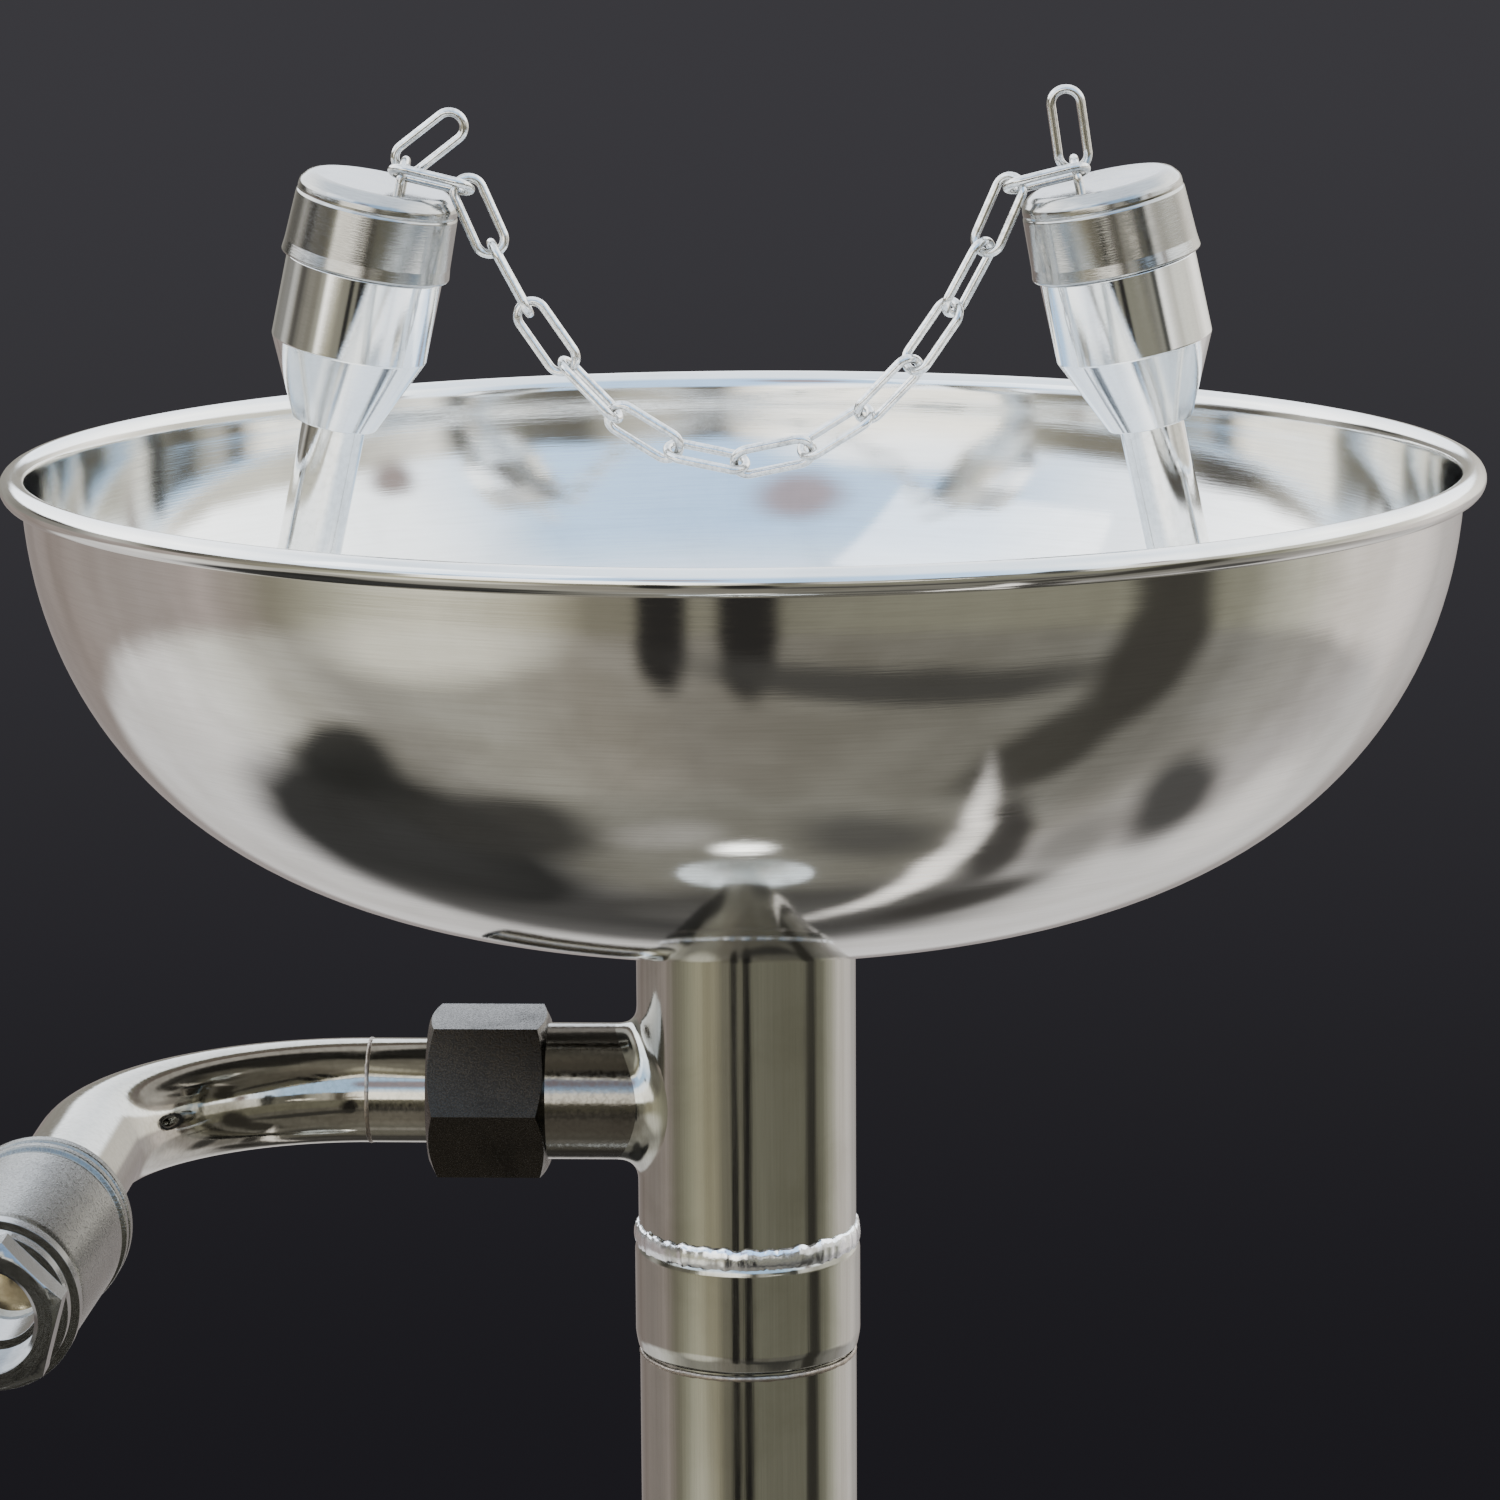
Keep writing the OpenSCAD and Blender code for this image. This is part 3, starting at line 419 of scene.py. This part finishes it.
def makeFinish(name, f, middle=(0, 0, 0), axis=(0, 0, 1), metal=1.0):
    # middle and axis say where a turned or drawn piece's own axis lies
    made = bpy.data.materials.new(name)
    made.use_nodes = True
    tree = made.node_tree
    tree.nodes.clear()
    place = add(tree, "ShaderNodeTexCoord").outputs["Object"]
    moved = add(tree, "ShaderNodeMapping", {"Vector": place, "Location": [-c for c in middle]}).outputs[0]
    turn = Vector(axis).rotation_difference(Vector((0, 0, 1))).to_euler()
    local = add(tree, "ShaderNodeMapping", {"Vector": moved, "Rotation": turn}).outputs[0]
    grain = f.get("grain", "cast")
    sizes = {"Vector": local}
    if grain == "cast":
        sizes["Scale"] = f["lines"]
    else:
        sizes["Lines"] = f["lines"]
        sizes["Arc" if grain == "turned" else "Run"] = f["run"]
    marks = use(tree, groups[grain], **sizes).outputs["Mask"]
    smudge_and_reflection = use(tree, groups["smudge_and_reflection"], Vector=local, Scale=f["smudge_and_reflection"], Low=wear["smudge_and_reflection"][0],
                 High=wear["smudge_and_reflection"][1]).outputs["Mask"]
    low, high = f["rough"]
    scuff = span(tree, marks, *wear["scuff"], low, high)
    rough = calc(tree, "ADD", scuff, calc(tree, "MULTIPLY", smudge_and_reflection, (high - low) * wear["smudgeRough"]))
    tone = calc(tree, "MULTIPLY", span(tree, marks, *wear["tone"]), wear["grainTone"])
    # the smudge cloud also darkens the colour towards the shade: painted reflection blotches
    tone = calc(tree, "ADD", tone, calc(tree, "MULTIPLY", smudge_and_reflection, wear["smudgeAndReflectionTone"]))
    colour = mixColour(tree, tone, f["colour"], f["shade"])
    bump = add(tree, "ShaderNodeBump", {"Height": marks, "Strength": f["bump"],
                                        "Distance": wear["bumpDepth"]}).outputs[0]
    shader = add(tree, "ShaderNodeBsdfPrincipled", {"Base Color": colour, "Roughness": rough,
                                                    "Metallic": metal, "Normal": bump})
    add(tree, "ShaderNodeOutputMaterial", {"Surface": shader.outputs[0]})
    return made


materials = {}


def finish(name, middle=(0, 0, 0), axis=(0, 0, 1)):
    key = (name, tuple(round(c, 5) for c in middle), tuple(round(c, 4) for c in axis))
    if key not in materials:
        if name in finishes:
            materials[key] = makeFinish(name, finishes[name], middle, axis)
        else:
            materials[key] = makeFinish(name, plainFinishes[name], middle, axis, metal=0.0)
    return materials[key]


print("finishes made")

# mesh helpers


def handOver(name, bm, material, body, stands=(), bevel=0.0, sharp=32):
    # makes the object from a bmesh that already lies in its place
    mesh = bpy.data.meshes.new(name)
    bm.to_mesh(mesh)
    bm.free()
    piece = bpy.data.objects.new(name, mesh)
    bpy.context.scene.collection.objects.link(piece)
    mesh.materials.append(material)
    for face in mesh.polygons:
        face.use_smooth = True
        face.material_index = 0
    if bevel:
        edge = piece.modifiers.new("edge", "BEVEL")
        edge.width = bevel
        edge.segments = 2
        edge.limit_method = "ANGLE"
        edge.angle_limit = radians(sharp)
        edge.use_clamp_overlap = True
        edge.harden_normals = False
    else:
        mesh.set_sharp_from_angle(angle=radians(sharp))
    even = piece.modifiers.new("even", "WEIGHTED_NORMAL")
    even.keep_sharp = True
    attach(piece, body)
    if stands:
        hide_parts(*stands)
    return piece


def outline(points):
    # a closed line; points are (radius, height) or (radius, height, rounding) in the XZ plane
    bm = bmesh.new()
    corners = [bm.verts.new((p[0], 0, p[1])) for p in points]
    for a, b in zip(corners, corners[1:] + corners[:1]):
        bm.edges.new((a, b))
    for corner, p in zip(corners, points):
        if len(p) > 2:
            bmesh.ops.bevel(bm, geom=[corner], offset=p[2], offset_type="OFFSET", segments=4, profile=0.5,
                            affect="VERTICES", material=-1, clamp_overlap=True)
    return bm


def spin(bm, steps=144):
    bmesh.ops.spin(bm, geom=bm.verts[:] + bm.edges[:], cent=(0, 0, 0), axis=(0, 0, 1), angle=2 * pi,
                   steps=steps, use_merge=True, use_duplicate=False)
    bmesh.ops.remove_doubles(bm, verts=bm.verts[:], dist=1e-7)
    bmesh.ops.recalc_face_normals(bm, faces=bm.faces[:])
    return bm


def turned(points, place=Matrix(), steps=144):
    bm = spin(outline([tuple(c * mm for c in p) for p in points]), steps)
    bmesh.ops.transform(bm, matrix=place, verts=bm.verts[:])
    if place.determinant() < 0:
        bmesh.ops.recalc_face_normals(bm, faces=bm.faces[:])
    return bm


def softened(node, name, material, width, sharp=32):
    # a copy of the CAD node with its edges rounded
    bm = bmesh.new()
    bm.from_mesh(nodes[node].data)
    bmesh.ops.remove_doubles(bm, verts=bm.verts[:], dist=2e-6)
    bmesh.ops.dissolve_limit(bm, angle_limit=radians(0.6), verts=bm.verts[:], edges=bm.edges[:])
    return handOver(name, bm, material, bodyOf(node), (node,), width, sharp)


def bodyOf(node):
    return next(b for b, members in frame["record"]["behaviour"]["bodies"].items() if node in members)


def dress(node, material):
    # a CAD node whose shape stays gets its finish
    mesh = nodes[node].data
    mesh.materials.clear()
    mesh.materials.append(material)


def joinInto(bm, other):
    mesh = bpy.data.meshes.new("part")
    other.to_mesh(mesh)
    other.free()
    bm.from_mesh(mesh)
    bpy.data.meshes.remove(mesh)
    return bm


def fillet(across, branch, blendR, steps=96, rings=8, sunk=0.6 * mm):
    # the pulled corner where a branch along -X leaves a pipe about Z, closed just below the metal
    bm = bmesh.new()
    made = bmesh.ops.create_circle(bm, cap_ends=False, radius=branch, segments=steps)
    loop = made["verts"]
    angles = [2 * pi * i / steps for i in range(steps)]

    def onPipe(y):
        return -sqrt(across * across - y * y)

    def section(t, a):
        y0, z0 = branch * sin(a), branch * cos(a)
        y1, z1 = (branch + blendR) * sin(a), (branch + blendR) * cos(a)
        p0 = Vector((onPipe(y0) - blendR, y0, z0))
        corner = Vector((onPipe(y0), y0, z0))
        p1 = Vector((onPipe(y1), y1, z1))
        return p0 * (1 - t) ** 2 + corner * 2 * t * (1 - t) + p1 * t * t

    for v, a in zip(loop, angles):
        v.co = section(0, a)
    edges = bm.edges[:]
    first = list(loop)
    for ring in range(1, rings + 2):
        made = bmesh.ops.extrude_edge_only(bm, edges=edges)
        edges = [g for g in made["geom"] if isinstance(g, bmesh.types.BMEdge)]
        fresh = [g for g in made["geom"] if isinstance(g, bmesh.types.BMVert)]
        previous = {}
        for v in fresh:
            partner = next(e.other_vert(v) for e in v.link_edges if e.other_vert(v) not in fresh)
            previous[partner] = v
        loop = [previous[v] for v in loop]
        for v, a in zip(loop, angles):
            if ring <= rings:
                v.co = section(ring / rings, a)
            else:
                inner = branch - sunk
                v.co = Vector((onPipe(branch * sin(a)) + sunk, inner * sin(a), inner * cos(a)))
    start = [e for e in bm.edges if e.verts[0] in first and e.verts[1] in first]
    bmesh.ops.bridge_loops(bm, edges=edges + start)
    bmesh.ops.recalc_face_normals(bm, faces=bm.faces[:])
    return bm


def bead(w, place):
    # a run of weld about the place's axis, lapped like scales
    proud = w["proud"] * mm
    wide = w["wide"] * mm
    bm = bmesh.new()
    ring = [bm.verts.new((w["radius"] * mm + proud * cos(a), 0, wide / 2 * sin(a))) for a in
            [2 * pi * i / 12 for i in range(12)]]
    for a, b in zip(ring, ring[1:] + ring[:1]):
        bm.edges.new((a, b))
    spin(bm, 240)
    for v in bm.verts:
        out = Vector((v.co.x, v.co.y, 0)).normalized()
        ripple = noise.noise(Vector((out.x * w["waves"], out.y * w["waves"], w["seed"])))
        fine = noise.noise(Vector((out.x * w["waves"] * 3, out.y * w["waves"] * 3, w["seed"] + 4)))
        v.co.z *= 1 + 0.22 * ripple + 0.12 * fine
        v.co.z += wide * 0.05 * ripple
        v.co += out * proud * (0.3 * fine + 0.3 * abs(ripple))
    bmesh.ops.transform(bm, matrix=place, verts=bm.verts[:])
    return bm


def upTo(height):
    return Matrix.Translation((0, 0, height))


print("mesh helpers ready")

# basin

basin = {"radius": 136.0, "depth": 88.5, "wall": 1.2, "sidePower": 2.95, "floorPower": 2.1, "steps": 44,
         "round": 256, "roll": 2.5, "rollOut": 1.5, "rollFrom": -125, "underRoll": 5.0, "insideRoll": 3.2,
         "drain": 17.5, "flat": 24.0}


def makeBasin(b):
    def side(radius, depth):
        turns = [pi / 2 * i / (b["steps"] + 1) for i in range(1, b["steps"] + 1)]
        out, down = 2 / b["sidePower"], 2 / b["floorPower"]
        return [(radius * cos(a) ** out, -depth * sin(a) ** down) for a in turns]

    outside = side(b["radius"], b["depth"])
    inside = side(b["radius"] - b["wall"], b["depth"] - b["wall"])
    middle = b["radius"] + b["rollOut"]
    turns = [radians(a) for a in range(b["rollFrom"], 181, 15)]
    roll = [(middle + b["roll"] * cos(a), b["roll"] * (sin(a) - 1)) for a in turns]
    low = -b["depth"]
    points = [(b["drain"], low), (b["flat"], low)]
    points += [p for p in reversed(outside) if p[1] < -b["underRoll"]] + roll
    points += [p for p in inside if p[1] < -b["insideRoll"]]
    points += [(b["flat"], low + b["wall"]), (b["drain"], low + b["wall"])]
    bm = turned(points, upTo(rim), b["round"])
    return handOver("spun_basin", bm, finish("spun basin"), "stand", ("bowl",))


makeBasin(basin)
print("basin made")

# column, its side stub and the coupling

column = {
    "pipe": 21.2, "bore": 19.7, "headDrop": 151.0, "couplingDrop": 176.0, "weldDrop": 152.2,
    "stub": 13.25, "stubEnd": 54.0, "stubEdge": 0.4, "feed": 8.65, "blend": 4.2, "seamOut": 73.0,
    # radius, height above its foot and rounding
    "coupling": [(19.7, 0.0), (20.65, 0.0, 0.1), (20.65, 1.0, 0.1), (21.45, 1.5, 0.2), (21.95, 4.0, 0.8),
                 (21.95, 21.0, 0.6), (21.45, 22.6, 0.2), (20.7, 23.0), (20.7, 25.0), (19.7, 25.0)],
}
welds = {
    "coupling_weld": dict(radius=21.3, wide=4.4, proud=0.7, waves=9.0, seed=2.0),
    "coupling_seam": dict(radius=20.95, wide=1.1, proud=0.3, waves=5.0, seed=7.0),
    "bend_seam": dict(radius=10.05, wide=0.9, proud=0.22, waves=5.0, seed=3.0),
}
inletPlace = upTo(inletZ) @ Matrix.Rotation(radians(-90), 4, "Y")


def makeColumn(c):
    steel = finish("brushed pipe")
    top = rim / mm - basin["depth"]
    low = rim / mm - c["headDrop"]
    foot = rim / mm - c["couplingDrop"]
    inner = c["bore"] - 1
    stub = turned([(c["feed"], inner), (c["stub"], inner), (c["stub"], c["stubEnd"], c["stubEdge"]),
                   (c["feed"], c["stubEnd"])], inletPlace, 96)
    # the stub takes a darker copy of the pipe steel: painted shade
    handOver("side_stub", stub, finish("stub steel with painted shade"), "stand")
    head = turned([(c["bore"], low), (c["pipe"], low), (c["pipe"], top), (c["bore"], top)])
    corner = fillet(c["pipe"] * mm, c["stub"] * mm, c["blend"] * mm)
    bmesh.ops.translate(corner, vec=(0, 0, inletZ), verts=corner.verts[:])
    joinInto(head, corner)
    handOver("column_top", head, steel, "stand", ("column_head",))
    coupling = turned([(p[0], foot + p[1], *p[2:]) for p in c["coupling"]])
    handOver("welded_coupling", coupling, steel, "stand", ("column_coupling",))
    runs = {"coupling_weld": ("weld bead", upTo(rim - c["weldDrop"] * mm)),
            "coupling_seam": ("heat tint", upTo(foot * mm)),
            "bend_seam": ("heat tint", inletPlace @ upTo(c["seamOut"] * mm))}
    for name, (look, place) in runs.items():
        handOver(name, bead(welds[name], place), finish(look), "stand")
    dress("column_pipe", steel)
    softened("base_pipe", "foot_pipe", steel, 0.0)


makeColumn(column)
print("column made")

# spray heads and caps

heads = {
    "yokeDrop": 66.0, "headX": 70.4, "headZ": 103.4, "tilt": 12.5, "lean": 4.0, "round": 128,
    # radius, height above the head's shoulder and rounding
    "body": [(6.15, -30.8), (8.0, -30.8, 0.25), (14.8, -15.9, 0.2), (14.8, -0.2, 0.3), (13.7, -0.2),
             (13.7, 4.0), (12.15, 4.0), (12.15, 6.0), (13.7, 6.0), (13.7, 11.5, 0.4), (10.6, 11.5),
             (10.6, -12.0), (5.0, -12.0), (5.0, -22.0), (6.15, -22.0)],
    "cap": [(13.93, 0.0, 0.15), (15.7, 0.0, 0.2), (16.0, 0.35, 0.15), (15.75, 2.6, 0.1),
            (15.35, 11.9, 0.2), (15.1, 12.25, 0.12), (15.2, 12.7, 0.1), (15.1, 14.0, 0.5),
            (13.4, 16.0, 1.1), (0.0, 16.0), (0.0, 13.4), (13.93, 13.4, 0.5)],
}


def headPlace(h, side):
    flip = Matrix.Scale(1 if side == "right" else -1, 4, (1, 0, 0))
    yoke = upTo(rim - h["yokeDrop"] * mm) @ Matrix.Rotation(radians(h["lean"]), 4, "X")
    arm = Matrix.Translation((h["headX"] * mm, 0, h["headZ"] * mm))
    return yoke @ flip @ arm @ Matrix.Rotation(radians(-h["tilt"]), 4, "Y")


def makeHead(h, side):
    place = headPlace(h, side)
    middle = place.translation
    axis = (place.to_3x3() @ Vector((0, 0, 1))).normalized()
    body = turned(h["body"], place, h["round"])
    handOver("spray_head_" + side, body, finish("polished head", middle, axis), "stand",
             ("head_body_" + side,))
    cap = turned(h["cap"], place, h["round"])
    handOver("satin_cap_" + side, cap, finish("satin cap", middle, axis), "cap_" + side,
             ("dust_cap_" + side,))
    for part in ("cap_eye_", "end_link_", "hook_link_", "chain_"):
        dress(part + side, finish("nickel wire"))
    dress("yoke_arm_" + side, finish("polished tube"))
    dress("flow_regulator_" + side, finish("white plastic"))
    dress("spray_plate_" + side, finish("turned end", middle, axis))
    dress("head_seal_" + side, finish("seal rubber"))


for side in ("left", "right"):
    makeHead(heads, side)
print("heads made")

# inlet: union, bend and valve

stem = (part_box("valve_ball")[0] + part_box("valve_ball")[1]) / 2
valvePlace = Matrix.Translation(stem) @ Matrix.Rotation(radians(90), 4, "X")
stemPlace = Matrix.Translation(stem) @ Matrix.Rotation(radians(-90), 4, "Y")
valve = {
    # radius, distance from the ball towards the port and rounding
    "body": [(10.2, -32.0), (12.0, -32.0, 0.3), (12.6, -31.2, 0.3), (12.6, -27.4, 0.8),
             (15.9, -22.2, 0.5), (15.9, -19.6, 0.3), (15.1, -19.2, 0.2), (15.1, -18.4, 0.2),
             (15.85, -18.0, 0.3), (15.85, -15.8, 0.4), (14.7, -15.4, 0.3), (14.7, -13.8, 0.3),
             (15.4, -13.2, 0.4), (14.5, 22.4, 0.8), (13.9, 24.6, 0.5), (13.5, 25.0), (12.0, 25.0),
             (12.0, -12.0), (7.0, -12.0), (7.0, -26.0), (10.2, -26.0)],
    "boss": [(4.05, 13.0), (8.5, 13.0), (8.5, 22.0, 0.8), (6.6, 22.0), (6.6, 16.5), (4.05, 16.5)],
    "threadRoot": 9.35, "threadCrest": 8.55, "threadBack": 9.45, "threadFrom": 37.6, "threadTo": 24.0,
    "pitch": 1.8, "turns": 7,
}
steelAxis = {"port": (0, -1, 0), "stem": (-1, 0, 0)}


def makeUnion():
    # the union nut's near-black colour holds painted shade
    softened("union_nut", "union_hexagon", finish("machined hexagon with painted shade"), 0.35 * mm)
    dress("union_gasket", finish("seal rubber"))
    for node in ("union_tail", "inlet_bend"):
        dress(node, finish("drawn bend"))


def makeValve(v):
    bm = joinInto(turned(v["body"], valvePlace, 128), turned(v["boss"], stemPlace, 64))
    # the barrel's casting colour holds painted shade
    handOver("valve_barrel", bm, finish("blasted casting with painted shade"), "stand", ("valve_body",))
    portSteel = finish("turned end", stem, steelAxis["port"])
    softened("valve_end", "valve_end_piece", portSteel, 0.3 * mm)
    ridges = [(v["threadRoot"], v["threadFrom"])]
    for turn in range(v["turns"]):
        crest = v["threadFrom"] - v["pitch"] * (turn + 0.5)
        ridges += [(v["threadCrest"], crest), (v["threadRoot"], crest - v["pitch"] / 2)]
    back = [(v["threadBack"], v["threadTo"]), (v["threadBack"], v["threadFrom"])]
    handOver("thread_rings", turned(ridges + back, valvePlace, 96), portSteel, "stand")
    dress("valve_ball", finish("ball"))
    dress("valve_stem", finish("turned end", stem, steelAxis["stem"]))
    for node in ("valve_seats", "stem_packing"):
        dress(node, finish("white plastic"))


handle = [
    # node, piece, finish, slot and rounding of its edges
    # the gland and lever nuts share the near-black colour with its painted shade
    ("gland_nut", "soft_gland_nut", "machined hexagon with painted shade", "machined_steel", 0.25),
    ("lever_nut", "soft_lever_nut", "machined hexagon with painted shade", "machined_steel", 0.3),
    # the lever shares the casting colour with its painted shade
    ("valve_lever", "bent_lever", "blasted casting with painted shade", "machined_steel", 0.6),
    ("push_plate", "coated_push_plate", "green powder coat", "plate_paint", 0.55),
    ("plate_screws", "pan_head_screws", "polished tube", "polished_steel", 0.4),
    ("plate_nuts", "plain_nuts", "polished tube", "polished_steel", 0.3),
]

makeUnion()
makeValve(valve)
for node, name, look, slot, edge in handle:
    softened(node, name, finish(look), edge * mm)

# the basin would mirror the handle and the bend more sharply than its grain lets it
notMirrored = {
    "pieces": ("valve_barrel", "valve_end_piece", "thread_rings", "bent_lever", "coated_push_plate",
               "pan_head_screws", "plain_nuts", "soft_gland_nut", "soft_lever_nut", "bend_seam",
               "union_hexagon"),
    "nodes": ("inlet_bend", "union_tail", "valve_stem", "valve_ball", "valve_seats", "stem_packing"),
}

for name in notMirrored["pieces"]:
    bpy.data.objects[name].visible_glossy = False
for node in notMirrored["nodes"]:
    nodes[node].visible_glossy = False
print("inlet made")

# drain, yoke and foot


def makeRest():
    for node in ("drain_gasket", "base_plug"):
        dress(node, finish("seal rubber"))
    for node in ("feed_elbow", "feed_riser", "yoke_tee"):
        dress(node, finish("polished tube"))
    softened("drain_strainer", "drain_grate", finish("turned end"), 0.0)
    softened("riser_locknut", "lock_nut", finish("turned end"), 0.3 * mm)
    softened("waste_tee", "waste_branch", finish("brushed pipe"), 0.0)
    softened("base_flange", "foot_flange", finish("turned pipe"), 0.8 * mm)


makeRest()
print("foot made")

# floor and light

studio = {"floorRadius": 2.0, "floorColour": (0.80, 0.79, 0.77), "floorShade": 0.94, "floorRough": 0.7}
softKey = {"place": (-1.6, -1.4, 2.6), "aim": (0, 0, 0.9), "size": (2.0, 1.4), "power": 12,
           "colour": (1.0, 0.98, 0.95)}


def makeFloor(s):
    bm = bmesh.new()
    bmesh.ops.create_circle(bm, cap_ends=True, segments=128, radius=s["floorRadius"])
    mesh = bpy.data.meshes.new("floor")
    bm.to_mesh(mesh)
    bm.free()
    floor = bpy.data.objects.new("floor", mesh)
    bpy.context.scene.collection.objects.link(floor)
    paint = bpy.data.materials.new("pale floor")
    paint.use_nodes = True
    tree = paint.node_tree
    shader = tree.nodes["Principled BSDF"]
    place = add(tree, "ShaderNodeTexCoord").outputs["Object"]
    cloud = add(tree, "ShaderNodeTexNoise", {"Vector": place, "Scale": 3.0, "Detail": 5.0}).outputs[0]
    tone = mixColour(tree, cloud, s["floorColour"], tuple(c * s["floorShade"] for c in s["floorColour"]))
    tree.links.new(tone, shader.inputs["Base Color"])
    shader.inputs["Roughness"].default_value = s["floorRough"]
    mesh.materials.append(paint)
    floor.visible_glossy = False


def makeLight(name, l):
    data = bpy.data.lights.new(name, "AREA")
    data.shape = "RECTANGLE"
    data.size, data.size_y = l["size"]
    data.energy = l["power"]
    data.color = l["colour"]
    lamp = bpy.data.objects.new(name, data)
    lamp.location = l["place"]
    lamp.rotation_euler = (Vector(l["aim"]) - Vector(l["place"])).to_track_quat("-Z", "Y").to_euler()
    bpy.context.scene.collection.objects.link(lamp)


makeFloor(studio)
makeLight("soft key", softKey)
print("stage made")
